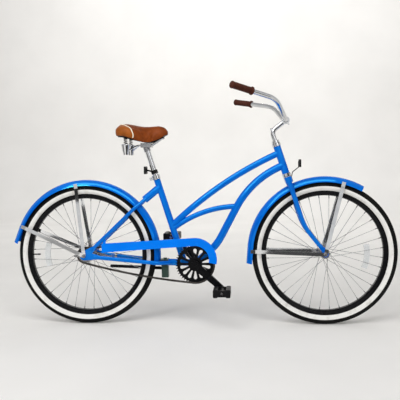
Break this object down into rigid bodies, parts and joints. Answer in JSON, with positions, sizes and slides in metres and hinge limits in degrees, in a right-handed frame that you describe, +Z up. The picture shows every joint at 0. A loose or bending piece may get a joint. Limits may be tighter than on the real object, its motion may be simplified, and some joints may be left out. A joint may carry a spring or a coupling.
{
  "type": "beach cruiser bicycle",
  "caption": "Blue step-over cruiser bicycle with swept chrome handlebar, sprung brown saddle, whitewall tyres, full fenders, chain guard, coaster hub, pedals and a folding kickstand.",
  "frame": {"origin": "on the ground, under the middle of the bounding box", "axes": "+X forward, +Y to the rider's left, +Z up; the chain side faces -Y"},
  "size_m": [1.8113, 0.7022, 1.0869],
  "materials": {
    "blue_paint": "gloss",
    "chrome": "polished",
    "bright_steel": "satin",
    "black_paint": "gloss",
    "black_plastic": "satin",
    "whitewall_tyre": "matte",
    "clear_lens": "gloss",
    "brown_grip": "satin",
    "brown_vinyl": "satin"
  },
  "bodies": {
    "frame": {"head_tube": "blue_paint", "top_tube": "blue_paint", "down_tube": "blue_paint", "mid_tube": "blue_paint", "seat_tube": "blue_paint", "bottom_bracket_shell": "blue_paint", "chain_stay_yoke": "blue_paint", "chain_stays": "blue_paint", "seat_stay_wishbone": "blue_paint", "seat_stays": "blue_paint", "rear_dropouts": "blue_paint", "headset_cups": "chrome", "bottom_bracket_cups": "bright_steel", "rear_axle": "bright_steel", "brake_arm": "bright_steel", "rear_fender": "blue_paint", "rear_fender_stays": "chrome", "chain_guard": "blue_paint", "seat_clamp": "chrome", "kickstand_bracket": "black_paint", "chain_inner_links": "bright_steel", "chain_outer_links": "bright_steel"},
    "steering": {"fork_crown": "blue_paint", "fork_blades": "blue_paint", "headset_races": "chrome", "stem": "chrome", "stem_bolts": "chrome", "handlebar": "chrome", "grips": "brown_grip", "front_fender": "blue_paint", "front_fender_stays": "chrome", "front_reflector": "black_plastic", "front_axle": "bright_steel"},
    "front_wheel": {"front_hub": "bright_steel", "front_spokes": "bright_steel", "front_rim": "black_paint", "front_tyre": "whitewall_tyre", "front_spoke_reflector": "clear_lens"},
    "rear_wheel": {"rear_hub": "bright_steel", "rear_spokes": "bright_steel", "rear_rim": "black_paint", "rear_tyre": "whitewall_tyre", "rear_spoke_reflector": "clear_lens"},
    "sprocket": {"rear_sprocket": "bright_steel"},
    "crank": {"crank_axle": "black_paint", "chainring": "black_paint", "crank_arms": "black_paint", "pedal_spindles": "bright_steel"},
    "right_pedal": {"right_pedal": "black_plastic"},
    "left_pedal": {"left_pedal": "black_plastic"},
    "kickstand": {"kickstand_leg": "black_paint"},
    "seat": {"seatpost": "chrome", "saddle_clamp": "bright_steel", "saddle_rails": "chrome", "spring_cups": "chrome", "saddle_springs": "chrome", "rear_reflector": "black_plastic"},
    "saddle": {"saddle_cushion": "brown_vinyl", "saddle_pan": "black_plastic"}
  },
  "joints": [
    {"name": "steering", "type": "hinge", "parent": "frame", "child": "steering", "pos_m": [0.39949, 0, 0.70495], "axis": [-0.3057, 0, 0.9521], "range_deg": [-60, 60]},
    {"name": "front_wheel_spin", "type": "hinge", "parent": "steering", "child": "front_wheel", "pos_m": [0.572, 0, 0.3335], "axis": [0, 1, 0], "continuous": true},
    {"name": "rear_wheel_spin", "type": "hinge", "parent": "frame", "child": "rear_wheel", "pos_m": [-0.548, 0, 0.3335], "axis": [0, 1, 0], "continuous": true},
    {"name": "crank_spin", "type": "hinge", "parent": "frame", "child": "crank", "pos_m": [-0.02569, 0, 0.29], "axis": [0, 1, 0], "continuous": true, "deforming": ["chain_inner_links", "chain_outer_links"]},
    {"name": "sprocket_spin", "type": "hinge", "parent": "frame", "child": "sprocket", "pos_m": [-0.548, 0, 0.3335], "axis": [0, 1, 0], "continuous": true},
    {"name": "right_pedal_spin", "type": "hinge", "parent": "crank", "child": "right_pedal", "pos_m": [0.10163, -0.1275, 0.17736], "axis": [0, 1, 0], "continuous": true},
    {"name": "left_pedal_spin", "type": "hinge", "parent": "crank", "child": "left_pedal", "pos_m": [-0.15302, 0.1275, 0.40264], "axis": [0, 1, 0], "continuous": true},
    {"name": "kickstand_fold", "type": "hinge", "parent": "frame", "child": "kickstand", "pos_m": [-0.17266, 0.02306, 0.2561], "axis": [0, -0.9608, -0.2773], "range_deg": [0, 76]},
    {"name": "seat_height", "type": "slide", "parent": "frame", "child": "seat", "axis": [-0.2957, 0, 0.9553], "range_m": [0, 0.06]},
    {"name": "saddle_flex", "type": "hinge", "parent": "seat", "child": "saddle", "pos_m": [-0.17046, 0, 0.88101], "axis": [0, -1, 0], "range_deg": [0, 4], "stiffness_Nm_per_rad": 1900, "deforming": ["saddle_springs"]}
  ],
  "couplings": [
    {"joint": "sprocket_spin", "follows": "crank_spin", "ratio": 2.4444}
  ]
}
